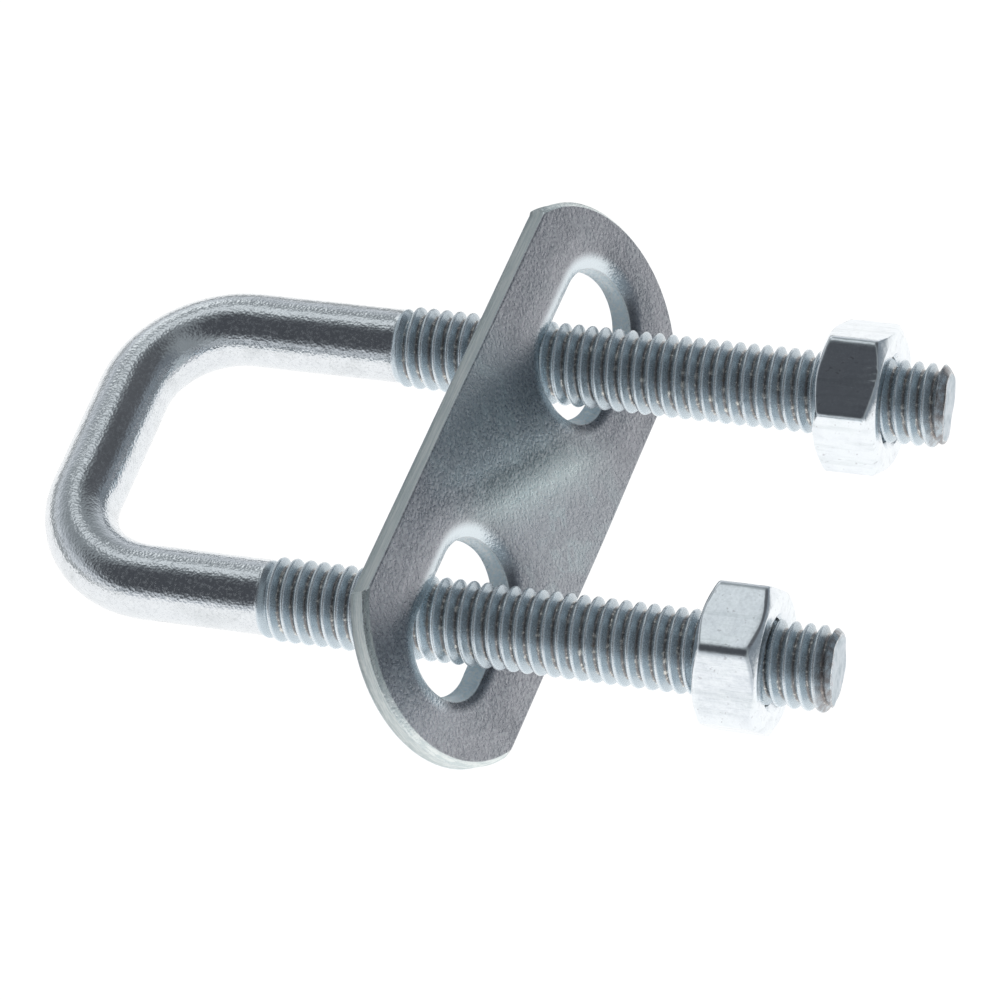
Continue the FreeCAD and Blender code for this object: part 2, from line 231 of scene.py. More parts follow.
def bar(verts, faces, depth, kind, burnt):
    """Plain bent bar from the far thread round the bow to the near thread."""
    st = []
    for x in np.linspace(FAR_T, RB, 17):
        st.append(((x, S / 2), (0, 1)))
    for a in np.linspace(0, math.pi / 2, 25)[1:]:
        st.append(((RB - RB * math.sin(a), S / 2 - RB + RB * math.cos(a)),
                   (-math.sin(a), math.cos(a))))
    for y in np.linspace(S / 2 - RB, -S / 2 + RB, 15)[1:]:
        st.append(((0, y), (-1, 0)))
    for a in np.linspace(0, math.pi / 2, 25)[1:]:
        st.append(((RB - RB * math.cos(a), -S / 2 + RB - RB * math.sin(a)),
                   (-math.cos(a), -math.sin(a))))
    for x in np.linspace(RB, NEAR_T, 14)[1:]:
        st.append(((x, -S / 2), (0, -1)))
    c = 0.0
    rings = []
    phi = np.arange(N) / N * 2 * math.pi
    for i, ((x, y), (ox, oy)) in enumerate(st):
        if i:
            c += math.hypot(x - st[i - 1][0][0], y - st[i - 1][0][1])
        end = i in (0, len(st) - 1)
        r = np.full(N, RS - 0.012) if end else bar_radius(c, phi)
        # the bends: flattened outside, a little full inside
        for mid in (16.6, 37.7):
            k = math.exp(-((c - mid) / 4.2) ** 2)
            if not end:
                r = r - 0.07 * k * np.clip(np.cos(phi), 0, 1) ** 2 \
                    - 0.05 * k * np.clip(-np.cos(phi), 0, 1) ** 4
        b = len(verts)
        P = np.stack([x + r * np.cos(phi) * ox, y + r * np.cos(phi) * oy,
                      r * np.sin(phi)], -1)
        verts.extend(row(P))
        depth.extend([0.0] * N)
        kind.extend([0.0] * N)
        burnt.extend([0.0] * N)
        rings.append(b)
    for a, b in zip(rings, rings[1:]):
        for i in range(N):
            j = (i + 1) % N
            faces.append([a + i, a + j, b + j, b + i])


verts, faces, depth, kind, burnt = [], [], [], [], []
leg(1, FAR_T, 0.36, verts, faces, depth, kind, burnt)
leg(-1, NEAR_T, 0.06, verts, faces, depth, kind, burnt)
bar(verts, faces, depth, kind, burnt)
u_bolt = make_object("u_bolt_detail", verts, faces, {
    "depth": depth, "kind": kind, "end": burnt}, weld=2e-7)

# ------------------------------------------------------------ the clamp plate
EPS = LIE + LEAN
n_dir = np.array([math.cos(EPS) * math.cos(YAW), -math.cos(EPS) * math.sin(YAW),
                  math.sin(EPS)])
v_dir = np.array([math.sin(YAW), math.cos(YAW), 0.0])
u_dir = np.cross(v_dir, n_dir)
plate_0 = LEG_DIR * 31.5 + SIDE * 1.1 + UP_DIR * (T / 2 * math.sin(LEAN)) \
    + np.array([0, 0, RS]) + SHIFT


def plate_row(P):
    P = np.atleast_2d(np.asarray(P, float))
    return (P[:, :1] * u_dir + P[:, 1:2] * v_dir + P[:, 2:3] * n_dir
            + plate_0) / 1000.0


drop = math.sqrt(RE * RE - W * W / 4)
CY = LS / 2 - drop  # centre of the end arc


def slot_dist(u, v):
    """Distance from the nearer slot's wall, positive in the sheet."""
    a = np.abs(v)
    lo, hi = SP / 2 - (SL - SW) / 2, SP / 2 + (SL - SW) / 2
    return np.hypot(u - SU, a - np.clip(a, lo, hi)) - SW / 2


def rim_dist(u, v):
    """Distance in from the end arcs."""
    return RE - np.hypot(u, np.maximum(np.abs(v) - CY, 0))


def face_shape(u, v):
    """How far the punched sheet's front face is out of flat."""
    a = np.abs(v)
    web = np.exp(-(v / 5.0) ** 2)
    dish = -0.10 * web * np.exp(-(u / 6.0) ** 2)
    twist = 0.10 * np.tanh((u * 0.8 - v * 0.45) / 3.2) * np.exp(
        -(v / 7.5) ** 2)
    rim = -0.05 * np.exp(-np.clip(slot_dist(u, v), 0, None) / 2.0)
    return dish + twist + rim + 0.015 * np.sin(0.35 * v + 0.8) \
        + 0.010 * np.sin(0.6 * u + 0.3 * v) - 0.12


def rim_drop(u, v):
    """Rounding of the outline: crisp long edges, drawn-down end arcs."""
    q = np.clip(1 - np.clip(W / 2 - 0.12 - np.abs(u), 0, None) / 0.07, 0, 1)
    z = -0.07 * (1 - np.sqrt(np.clip(1 - q * q, 0, 1)))
    return z - 0.34 * np.clip(1 - np.clip(rim_dist(u, v), 0, None) / 0.36,
                              0, 1) ** 1.15


def front_z(u, v):
    d = np.clip(slot_dist(u, v), 0, None)
    # deeper and wider at the far end of each slot, as the punch leaned
    lo, hi = SP / 2 - (SL - SW) / 2, SP / 2 + (SL - SW) / 2
    dv = v - np.sign(v) * np.clip(np.abs(v), lo, hi)
    du = u - SU
    far = np.maximum(np.hypot(du, dv), 1e-6)
    au, av = du / far, dv / far
    k = np.clip(1 - d / (1.0 + 0.25 * av - 0.20 * au), 0, 1)
    roll = -(0.34 + 0.12 * av - 0.05 * au) * k ** 1.9 \
        - 0.08 * smooth(d, 3.0, 0.3)
    return roll + rim_drop(u, v) + face_shape(u, v)


def back_z(u, v):
    return -T + 0.02 - 0.3 * rim_drop(u, v)


def half_plate(sign, verts, faces, part, loc):
    """One half, its slot in the middle: rays from the slot to the outline."""
    def edge(v):
        return W / 2 - 0.12 * float(smooth(v, LS / 2 - 0.05, LS / 2 - 0.35))
    out = [(edge(v), v) for v in np.append(np.linspace(0, 17.8, 41),
                                           np.linspace(17.85, LS / 2, 9))]
    half = math.asin(W / 2 / RE)
    out += [(RE * math.sin(a), CY + RE * math.cos(a))
            for a in np.linspace(half, -half, 73)[1:]]
    out += [(-edge(v), v) for v in np.append(
        np.linspace(LS / 2, 17.85, 9), np.linspace(17.8, 0, 41))[1:]]
    out += [(u, 0.0) for u in np.linspace(-edge(0), edge(0), 37)[1:-1]]
    n_mid = 35
    T_ = len(out)
    C = np.array([SU, SP / 2])
    O = np.array(out)
    D = O - C
    L = np.hypot(D[:, 0], D[:, 1])
    D = D / L[:, None]
    # where each ray leaves the slot (a stadium along v)
    inner = np.zeros(T_)
    for i in range(T_):
        lo, hi = 0.0, L[i]
        for _ in range(40):
            m = (lo + hi) / 2
            p = C + D[i] * m
            if slot_dist(p[0], p[1]) < 0:
                lo = m
            else:
                hi = m
        inner[i] = (lo + hi) / 2
    near = np.array([0, .02, .05, .10, .16, .24, .34, .46, .60, .78, 1.0, 1.3])
    far = np.array([0.36, 0.24, 0.14, 0.08, 0.04, 0.015, 0.0])
    mids = np.linspace(0, 1, 16)[1:-1]
    rows = []
    for i in range(T_):
        span = L[i] - inner[i]
        on_mid = i >= T_ - n_mid or i == 0 or i == T_ - n_mid - 1
        k = min(1.0, span / 2.4)
        a = near * k
        b = span - far * k
        m = a[-1] + (b[0] - a[-1]) * mids
        rows.append(inner[i] + np.concatenate([a, m, b]))
    Q = np.array(rows)                       # T_ x M
    U = C[0] + D[:, :1] * Q
    V = C[1] + D[:, 1:] * Q
    M = Q.shape[1]
    # the punched wall leans: in below on one side, out below on the other
    low, high = SP / 2 - (SL - SW) / 2, SP / 2 + (SL - SW) / 2
    Nu = (U[:, 0] - SU) / (SW / 2)
    Nv = (V[:, 0] - np.clip(V[:, 0], low, high)) / (SW / 2)
    inset = 0.62 * np.clip(Nu, 0, 1) - 0.28 * np.clip(-Nu, 0, 1) \
        + 0.34 * np.clip(sign * Nv, 0, 1) + 0.12 * np.clip(-sign * Nv, 0, 1)
    lean = inset / (D[:, 0] * Nu + D[:, 1] * Nv)
    Qb = (inner - lean)[:, None] + (Q - inner[:, None]) \
        * ((L - inner + lean) / (L - inner))[:, None]
    Ub = C[0] + D[:, :1] * Qb
    Vb = C[1] + D[:, 1:] * Qb
    sv = sign
    fz, bz = front_z(U, sv * V), back_z(Ub, sv * Vb)
    b0 = len(verts)

    def put(u, v, z, tag):
        start = len(verts)
        here = np.stack([u, sv * v, z], -1).reshape(-1, 3)
        verts.extend(plate_row(here))
        loc.extend(here)
        part.extend([tag] * u.size)
        return start
    F = put(U, V, fz, 0.0)
    B = put(Ub, Vb, bz, 1.0)
    # slot wall: burnished above, torn below
    steps = np.array([0.05, 0.18, 0.32, 0.42, 0.60, 0.80, 0.93, 0.98])
    flare = np.array([0.0, 0.0, 0.004, 0.03, 0.045, 0.05, 0.03, 0.0])
    z0, z1 = fz[:, 0], bz[:, 0]
    wu, wv, wz = [], [], []
    for st, fl in zip(steps, flare):
        wob = 0.006 * np.sin(np.arange(T_) * 1.9 + 7 * st)
        shift = fl + wob * (0.35 < st < 0.97) - lean * st
        wu.append(U[:, 0] + D[:, 0] * shift)
        wv.append(V[:, 0] + D[:, 1] * shift)
        wz.append(z0 + (z1 - z0) * st)
    SWALL = put(np.array(wu), np.array(wv), np.array(wz), 2.0)
    # outer wall: rows from the front edge to the back edge
    ost = np.array([0.04, 0.16, 0.30, 0.40, 0.45, 0.60, 0.70, 0.86, 0.96])
    ofs = np.array([0.0, 0.0, -0.008, -0.012, -0.05, -0.06, -0.085, -0.07,
                    -0.02])
    ou, ov, oz = [], [], []
    uo, vo = U[:, -1], V[:, -1]
    # outward normal of the outline
    nx = np.where(np.abs(vo) > LS / 2 - 1e-6, uo / RE, np.sign(uo))
    ny = np.where(np.abs(vo) > LS / 2 - 1e-6, (vo - CY) / RE, 0.0)
    ln = np.hypot(nx, ny)
    nx, ny = nx / ln, ny / ln
    for st, of in zip(ost, ofs):
        wob = 0.008 * np.sin(vo * 1.3 + 9 * st) * (st > 0.2) \
            - 0.008 * (st > 0.2)
        ou.append(uo + nx * (of + wob))
        ov.append(np.maximum(vo + ny * (of + wob), 0))
        oz.append(fz[:, -1] + (bz[:, -1] - fz[:, -1]) * st)
    OWALL = put(np.array(ou), np.array(ov), np.array(oz), 3.0)

    def grid(base, i, m):
        return base + i * M + m
    for i in range(T_):
        j = (i + 1) % T_
        for m in range(M - 1):
            faces.append([grid(F, i, m), grid(F, j, m), grid(F, j, m + 1),
                          grid(F, i, m + 1)])
            faces.append([grid(B, i, m), grid(B, j, m), grid(B, j, m + 1),
                          grid(B, i, m + 1)])
        prev_i, prev_j = grid(F, i, 0), grid(F, j, 0)
        for k in range(len(steps)):
            a, b = SWALL + k * T_ + i, SWALL + k * T_ + j
            faces.append([prev_i, prev_j, b, a])
            prev_i, prev_j = a, b
        faces.append([prev_i, prev_j, grid(B, j, 0), grid(B, i, 0)])
        if i < T_ - n_mid - 1:
            prev_i, prev_j = grid(F, i, M - 1), grid(F, j, M - 1)
            for k in range(len(ost)):
                a, b = OWALL + k * T_ + i, OWALL + k * T_ + j
                faces.append([prev_i, prev_j, b, a])
                prev_i, prev_j = a, b
            faces.append([prev_i, prev_j, grid(B, j, M - 1),
                          grid(B, i, M - 1)])


verts, faces, part, loc = [], [], [], []
half_plate(1, verts, faces, part, loc)
half_plate(-1, verts, faces, part, loc)
gap = slot_dist(np.array(loc)[:, 0], np.array(loc)[:, 1])
rim = rim_dist(np.array(loc)[:, 0], np.array(loc)[:, 1])
clamp_plate = make_object("clamp_plate_detail", verts, faces, {
    "part": part, "loc": loc, "gap": gap, "rim": rim}, weld=2e-7, sharp=24.0)


# -------------------------------------------------------------------- nuts
def nut(name, side, outer_at, turn_deg):
    P_, Q_ = 240, 34.0
    phi = np.arange(P_) / P_ * 2 * math.pi
    # rounded hexagon: a high-power norm of the six flats
    tot = 0
    for k in range(6):
        c = np.cos(phi - math.radians(30 + 60 * k))
        tot = tot + np.clip(c, 0, None) ** Q_
    r_hex = (AF / 2 - 0.01) / tot ** (1 / Q_)
    rf, h = NFACE / 2 - 0.12, NH
    tan = math.tan(math.radians(30))
    rb = NBORE / 2
    pts_all, tags = [], []
    rho = 0.24
    for i in range(P_):
        rh = r_hex[i]
        fall = max(rh - rf, 0.02) * tan
        # outline of the section at this angle: bore mouth to bore mouth
        prof = [(rb, 0.45, 0), (rb + 0.42, 0.0, 1), (rf, 0.0, 2),
                (rh, fall, 3), (rh, h - fall, 4), (rf, h, 5),
                (rb + 0.42, h, 6), (rb, h - 0.45, 7)]
        ring, tg = [], []
        M = len(prof)
        for m in range(M):
            p = np.array(prof[m][:2])
            a = np.array(prof[m - 1][:2]) - p
            b = np.array(prof[(m + 1) % M][:2]) - p
            la, lb = np.hypot(*a), np.hypot(*b)
            cut = min(rho if m in (3, 4) else 0.05, 0.4 * la, 0.4 * lb)
            pa, pb = p + a / la * cut, p + b / lb * cut
            for t in (0.0, 0.33, 0.67, 1.0):
                q = (1 - t) ** 2 * pa + 2 * t * (1 - t) * p + t * t * pb
                ring.append(q)
                tg.append(m)
            # rows along the long stretches so that shading stays even
            nxt = np.array(prof[(m + 1) % M][:2])
            extra = {2: (0.5,), 3: (0.06, 0.2, 0.35, 0.5, 0.62, 0.72, 0.8, 0.87, 0.94),
                     1: (0.5,), 5: (0.5,), 4: (0.5,), 7: (0.3, 0.7)}.get(m, ())
            for t in extra:
                ring.append(pb + (nxt - pb) * t * 0.93)
                tg.append(m + 0.5)
        pts_all.append(ring)
        tags.append(tg)
    A = np.array(pts_all)                    # P_ x M x 2
    r, z = A[..., 0], A[..., 1]
    phi2 = np.repeat(phi[:, None], A.shape[1], 1)
    # faint forging unevenness on the flats
    on_flat = (np.abs(r - r_hex[:, None]) < 0.02)
    r = r - on_flat * (0.012 + 0.010 * np.sin(3.1 * phi2 + 1.7 * z + side)
                       * np.sin(1.3 * z))
    # wrench bruises at the outer end of one flat
    if side > 0:
        hit = np.exp(-((np.degrees(phi2) - 83) / 11) ** 2) \
            * smooth(z, 3.0, 3.9) * on_flat
        r = r - 0.075 * hit * np.clip(np.sin(9.1 * z + 37 * phi2)
                                      * np.sin(23 * phi2 - 5 * z) + 0.35,
                                      0, 1)
    t0 = math.radians(turn_deg)
    x = outer_at - NH + z
    y = side * S / 2 + r * np.cos(phi2 + t0)
    zz = r * np.sin(phi2 + t0)
    verts = list(row(np.stack([x, y, zz], -1).reshape(-1, 3)))
    M = A.shape[1]
    faces = []
    for i in range(P_):
        j = (i + 1) % P_
        for m in range(M):
            n = (m + 1) % M
            faces.append([i * M + m, j * M + m, j * M + n, i * M + n])
    flat = (np.abs((phi + math.radians(0)) % math.radians(60)
                   - math.radians(30)))
    corner = np.repeat((flat / math.radians(30))[:, None], M, 1)
    return make_object(name, verts, faces, {
        "corner": corner.reshape(-1),
        "face": np.array(tags, float).reshape(-1)}, weld=1e-7, sharp=75.0)


far_nut = nut("far_nut_detail", 1, 54.95, 26.5)
near_nut = nut("near_nut_detail", -1, 53.15, 63.9)


# --------------------------------------------------------------- materials
class Mat:
    def __init__(self, name):
        self.m = bpy.data.materials.new(name)
        self.m.use_nodes = True
        self.t = self.m.node_tree
        self.t.nodes.clear()
        self.out = self.t.nodes.new("ShaderNodeOutputMaterial")
        self.bsdf = self.t.nodes.new("ShaderNodeBsdfPrincipled")
        self.t.links.new(self.bsdf.outputs[0], self.out.inputs[0])
        self.bsdf.inputs["Metallic"].default_value = 1.0

    def put(self, socket, value):
        if isinstance(value, bpy.types.NodeSocket):
            self.t.links.new(value, socket)
        else:
            socket.default_value = value

    def math(self, op, a, b=0.0, c=0.0, clamp=False):
        n = self.t.nodes.new("ShaderNodeMath")
        n.operation, n.use_clamp = op, clamp
        for s, v in zip(n.inputs, (a, b, c)):
            self.put(s, v)
        return n.outputs[0]

    def attr(self, name, out="Fac"):
        n = self.t.nodes.new("ShaderNodeAttribute")
        n.attribute_name = name
        return n.outputs[out]

    def mm(self):
        """The mesh's own coordinates, in millimetres."""
        c = self.t.nodes.new("ShaderNodeTexCoord")
        return self.scaled(c.outputs["Object"], (1000, 1000, 1000))

    def leg_mm(self):
        n = self.t.nodes.new("ShaderNodeMapping")
        n.inputs["Rotation"].default_value = (0.0, LIE, 0.0)
        self.put(n.inputs["Vector"], self.mm())
        return n.outputs[0]

    def scaled(self, vec, k):
        n = self.t.nodes.new("ShaderNodeVectorMath")
        n.operation = "MULTIPLY"
        self.put(n.inputs[0], vec)
        n.inputs[1].default_value = k
        return n.outputs[0]

    def dot(self, vec, k):
        n = self.t.nodes.new("ShaderNodeVectorMath")
        n.operation = "DOT_PRODUCT"
        self.put(n.inputs[0], vec)
        n.inputs[1].default_value = k
        return n.outputs["Value"]

    def noise(self, vec, scale, detail=2.0, rough=0.5, warp=0.0):
        n = self.t.nodes.new("ShaderNodeTexNoise")
        self.put(n.inputs["Vector"], vec)
        n.inputs["Scale"].default_value = scale
        n.inputs["Detail"].default_value = detail
        n.inputs["Roughness"].default_value = rough
        n.inputs["Distortion"].default_value = warp
        return n.outputs["Fac"]

    def cells(self, vec, scale, feature="F1"):
        n = self.t.nodes.new("ShaderNodeTexVoronoi")
        n.feature = feature
        self.put(n.inputs["Vector"], vec)
        n.inputs["Scale"].default_value = scale
        return n.outputs["Distance"]

    def span(self, v, a, b, lo=0.0, hi=1.0):
        n = self.t.nodes.new("ShaderNodeMapRange")
        n.interpolation_type = "SMOOTHSTEP"
        self.put(n.inputs[0], v)
        for i, k in enumerate((a, b, lo, hi)):
            n.inputs[i + 1].default_value = k
        return n.outputs[0]

    def mix(self, fac, a, b, blend="MIX"):
        n = self.t.nodes.new("ShaderNodeMix")
        n.data_type, n.blend_type = "RGBA", blend
        self.put(n.inputs[0], fac)
        for s, v in ((n.inputs[6], a), (n.inputs[7], b)):
            self.put(s, v if isinstance(v, bpy.types.NodeSocket)
                     else (*v, 1.0))
        return n.outputs[2]

    def ramp(self, fac, *stops):
        n = self.t.nodes.new("ShaderNodeValToRGB")
        self.put(n.inputs[0], fac)
        e = n.color_ramp.elements
        while len(e) < len(stops):
            e.new(0.5)
        for k, (p, c) in zip(e, stops):
            k.position, k.color = p, (*c, 1.0)
        return n.outputs[0]

    def bump(self, height, depth_mm, normal=None):
        n = self.t.nodes.new("ShaderNodeBump")
        n.inputs["Strength"].default_value = 1.0
        n.inputs["Distance"].default_value = depth_mm / 1000.0
        self.put(n.inputs["Height"], height)
        if normal is not None:
            self.put(n.inputs["Normal"], normal)
        return n.outputs[0]


def bolt_material():
    m = Mat("zinc_bolt")
    p = m.leg_mm()
    cut = m.span(m.attr("kind"), 0.2, 0.9)
    face = m.span(m.attr("kind"), 1.4, 1.9)
    depth = m.attr("depth")
    fine = m.noise(p, 6.0, 2.0, 0.6)
    broad = m.noise(p, 0.45, 3.0, 0.55)
    peel = m.noise(p, 1.7, 2.0, 0.5)
    specks = m.span(m.noise(p, 4.2, 3.0, 0.65), 0.66, 0.74)
    rust = m.span(m.noise(p, 0.9, 5.0, 0.7), 0.60, 0.72)
    # plain bar: pale zinc with a faint lilac, greyer where it was handled
    plain = m.ramp(broad, (0.25, (0.67, 0.70, 0.72)), (0.5, (0.79, 0.82, 0.845)),
                   (0.8, (0.73, 0.755, 0.785)))
    plain = m.mix(m.math("MULTIPLY", specks, 0.35), plain, (0.42, 0.40, 0.42))
    plain = m.mix(m.span(m.noise(p, 7.0, 2.0, 0.5), 0.5, 0.75, 0.0, 0.35),
                  plain, (0.95, 0.96, 0.97))
    # threads: bluer, brown rust in the roots, a painted highlight on the crests and
    # painted shade in the roots
    thread = m.ramp(depth, (0.0, (0.92, 0.97, 1.0)), (0.07, (0.74, 0.83, 0.89)),
                    (0.22, (0.62, 0.71, 0.77)), (0.86, (0.56, 0.64, 0.69)),
                    (0.97, (0.27, 0.26, 0.26)))
    # painted glints: bright specks scattered along the thread roots
    glint = m.math("MULTIPLY", m.span(depth, 0.76, 0.90), m.span(
        m.noise(m.scaled(p, (0.9, 0.8, 0.8)), 3.4, 3.0, 0.75), 0.54, 0.62))
    thread = m.mix(m.math("MULTIPLY", glint, 0.85), thread,
                   (1.0, 0.97, 0.90))
    thread = m.mix(m.math("MULTIPLY", m.math("MULTIPLY", m.span(
        depth, 0.6, 0.95), rust), 0.55), thread, (0.36, 0.27, 0.19))
    col = m.mix(cut, plain, thread)
    burnt = m.math("MULTIPLY", m.attr("end"),
                   m.span(m.noise(p, 1.6, 4.0, 0.6), 0.32, 0.62))
    col = m.mix(m.math("MULTIPLY", burnt, 0.75), col, (0.26, 0.22, 0.21))
    col = m.mix(face, col, m.ramp(m.noise(p, 1.1, 4.0, 0.6),
                                  (0.35, (0.50, 0.58, 0.63)),
                                  (0.6, (0.72, 0.79, 0.84)),
                                  (0.75, (0.70, 0.68, 0.72))))
    m.put(m.bsdf.inputs["Base Color"], col)
    rough = m.math("ADD", m.span(fine, 0.3, 0.7, 0.07, 0.15),
                   m.math("MULTIPLY", cut, 0.15))
    rough = m.math("ADD", rough, m.math("MULTIPLY", face, 0.16))
    m.put(m.bsdf.inputs["Roughness"], rough)
    # rolled threads and small dull grains scatter instead of mirroring
    dull = m.math("MULTIPLY", m.math("SUBTRACT", 1.0, cut), m.span(
        m.noise(p, 4.4, 3.0, 0.7), 0.49, 0.62, 0.0, 0.26))
    m.put(m.bsdf.inputs["Metallic"], m.math("SUBTRACT", 1.0, m.math(
        "ADD", dull, m.math("MULTIPLY", cut, 0.38))))
    long_marks = m.noise(m.scaled(p, (0.5, 7.0, 7.0)), 1.0, 3.0, 0.6)
    bare = m.math("SUBTRACT", 1.0, m.math("MULTIPLY", cut, 0.8))
    sparkle = m.cells(p, 5.0)
    nb = m.bump(m.math("MULTIPLY", peel, bare), 0.020)
    nb = m.bump(m.math("MULTIPLY", long_marks, bare), 0.005, nb)
    nb = m.bump(m.math("MULTIPLY", sparkle, bare), 0.014, nb)
    nb = m.bump(fine, 0.010, nb)
    m.put(m.bsdf.inputs["Normal"], nb)
    return m.m


def plate_material():
    m = Mat("zinc_plate")
    p = m.attr("loc", "Vector")
    part = m.attr("part")
    gap = m.attr("gap")
    grain = m.noise(p, 4.4, 2.0, 0.65)
    broad = m.noise(p, 0.28, 3.0, 0.5)
    cloud = m.span(m.noise(p, 0.42, 4.0, 0.6, 0.8), 0.50, 0.66, 0.0, 0.55)
    spots = m.span(m.noise(p, 3.2, 4.0, 0.65), 0.60, 0.70)
    front = m.ramp(broad, (0.25, (0.30, 0.31, 0.335)), (0.5, (0.40, 0.405, 0.435)),
                   (0.8, (0.34, 0.36, 0.385)))
    # between the slots a painted reflection: a diagonal band of teal, dark and pale
    # green light and shade, standing in for the dished face mirroring the room
    diag = m.span(m.dot(p, (0.80, -0.45, 0.0)), -3.6, 3.6)
    here = m.span(m.math("ABSOLUTE", m.dot(p, (0.0, 1.0, 0.0))), 9.5, 2.5)
    painted_reflection_tint = m.ramp(diag, (0.0, (0.38, 0.43, 0.46)), (0.14, (0.42, 0.49, 0.52)),
                  (0.32, (0.19, 0.235, 0.25)), (0.50, (0.36, 0.42, 0.43)),
                  (0.70, (0.66, 0.75, 0.75)), (1.0, (0.42, 0.44, 0.47)))
    front = m.mix(m.math("MULTIPLY", here, 0.85), front, painted_reflection_tint)
    front = m.mix(m.math("MULTIPLY", cloud, here), front, (0.52, 0.60, 0.62))
    front = m.mix(m.math("MULTIPLY", spots, 0.45), front, (0.13, 0.135, 0.15))
    front = m.mix(m.span(grain, 0.50, 0.64, 0.0, 0.55), front,
                  (0.62, 0.64, 0.66))
    # painted highlight: the rollover on the slot's -u side is painted pale blue-white;
    # the same mask lowers the roughness there
    painted_roll_highlight = m.math("MULTIPLY", m.span(gap, 1.3, 0.5, 0.0, 0.8),
                  m.span(m.dot(p, (1.0, 0.0, 0.0)), 2.6, 0.6))
    front = m.mix(painted_roll_highlight, front, (0.78, 0.86, 0.90))
    # painted shade: the rollover on the slot's +u side is painted near-black
    front = m.mix(m.math("MULTIPLY", m.span(gap, 0.95, 0.30, 0.0, 0.75), m.span(
        m.dot(p, (1.0, 0.0, 0.0)), 1.2, 2.8)), front, (0.13, 0.14, 0.16))
    # painted highlight: a thin near-white line along the slot's sharp front edge
    painted_lip_highlight = m.span(gap, 0.11, 0.02)
    front = m.mix(painted_lip_highlight, front, (0.88, 0.95, 0.98))
    wall = m.mix(m.span(grain, 0.4, 0.7), (0.78, 0.90, 0.96),
                 (0.96, 1.0, 1.0))
    edge = m.mix(m.span(m.noise(m.scaled(p, (1, 0.3, 9.0)), 1.0, 3.0, 0.6),
                        0.4, 0.62), (0.68, 0.76, 0.76), (0.90, 0.95, 0.93))
    is_wall = m.span(part, 1.4, 1.9)
    front = m.mix(m.span(m.attr("rim"), 0.40, 0.30, 0.0, 0.85), front, edge)
    col = m.mix(is_wall, front, wall)
    col = m.mix(m.span(part, 2.4, 2.9), col, edge)
    m.put(m.bsdf.inputs["Base Color"], col)
    rough = m.math("SUBTRACT", m.span(grain, 0.3, 0.75, 0.24, 0.40),
                   m.math("MULTIPLY", painted_roll_highlight, 0.15))
    rough = m.math("ADD", rough, m.math("MULTIPLY", is_wall, 0.12))
    m.put(m.bsdf.inputs["Roughness"], rough)
    # the torn zinc in the slots scatters light instead of mirroring it; the painted
    # lip highlight is made matt too
    m.put(m.bsdf.inputs["Metallic"], m.math("SUBTRACT", 1.0, m.math(
        "MAXIMUM", m.math("MULTIPLY", is_wall, 0.90),
        m.math("MAXIMUM", m.math("MULTIPLY", painted_lip_highlight, 0.75),
               m.span(part, 2.4, 2.9, 0.0, 0.60)))))
    scratch = m.noise(m.scaled(p, (0.35, 5.0, 5.0)), 1.0, 3.0, 0.65)
    nb = m.bump(grain, 0.030)
    nb = m.bump(scratch, 0.008, nb)
    nb = m.bump(m.noise(p, 1.1, 2.0, 0.5), 0.02, nb)
    m.put(m.bsdf.inputs["Normal"], nb)
    return m.m


def nut_material():
    m = Mat("zinc_nut")
    p = m.leg_mm()
    fine = m.noise(p, 4.6, 2.0, 0.6)
    broad = m.noise(p, 0.7, 3.0, 0.55)
    lines = m.noise(m.scaled(p, (0.45, 6.0, 6.0)), 1.0, 4.0, 0.65)
    col = m.ramp(broad, (0.25, (0.80, 0.84, 0.88)), (0.55, (0.89, 0.93, 0.96)),
                 (0.8, (0.83, 0.88, 0.90)))
    streak = m.span(m.noise(m.scaled(p, (0.12, 1.6, 1.6)), 1.0, 3.0, 0.6),
                    0.50, 0.66, 0.0, 0.20)
    col = m.mix(streak, col, (0.50, 0.56, 0.57))
    dings = m.span(m.noise(p, 2.6, 3.0, 0.6), 0.64, 0.70)
    col = m.mix(m.math("MULTIPLY", dings, 0.4), col, (0.35, 0.34, 0.36))
    m.put(m.bsdf.inputs["Base Color"], col)
    m.put(m.bsdf.inputs["Roughness"], m.span(fine, 0.3, 0.7, 0.16, 0.24))
    nb = m.bump(m.noise(p, 1.0, 2.0, 0.5), 0.024)
    nb = m.bump(lines, 0.005, nb)
    m.put(m.bsdf.inputs["Normal"], nb)
    return m.m


for piece, mat in ((u_bolt, bolt_material()), (clamp_plate, plate_material())):
    piece.data.materials.append(mat)
shared = nut_material()
for piece in (far_nut, near_nut):
    piece.data.materials.append(shared)

for piece, node, slot in ((u_bolt, "u_bolt", "bolt_zinc"),
                          (clamp_plate, "clamp_plate", "plate_zinc"),
                          (far_nut, "far_nut", "nut_zinc"),
                          (near_nut, "near_nut", "nut_zinc")):
    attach(piece, node)
    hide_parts(node)

# ------------------------------------------------------------------ the stage
CAM = Vector((0.0772544, -0.2288319, 0.3008907))
AXES = Matrix(((0.9553013, -0.2172120, 0.2005453),
               (0.2950112, 0.7444210, -0.5990040),
               (-0.0191793, 0.6313924, 0.7752263)))


def floor_material():
    m = bpy.data.materials.new("white_sweep")
    m.use_nodes = True
    t = m.node_tree
    t.nodes.clear()
    out = t.nodes.new("ShaderNodeOutputMaterial")
    em = t.nodes.new("ShaderNodeEmission")
    em.inputs["Color"].default_value = (1.0, 1.0, 1.0, 1.0)
    em.inputs["Strength"].default_value = 1.06
    t.links.new(em.outputs[0], out.inputs[0])
    return m


bm = bmesh.new()
bmesh.ops.create_grid(bm, x_segments=8, y_segments=8, size=1.5)
me = bpy.data.meshes.new("floor")
bm.to_mesh(me)
bm.free()
floor = bpy.data.objects.new("floor", me)
floor.location = (0, 0, -0.0002)
me.materials.append(floor_material())
bpy.context.scene.collection.objects.link(floor)

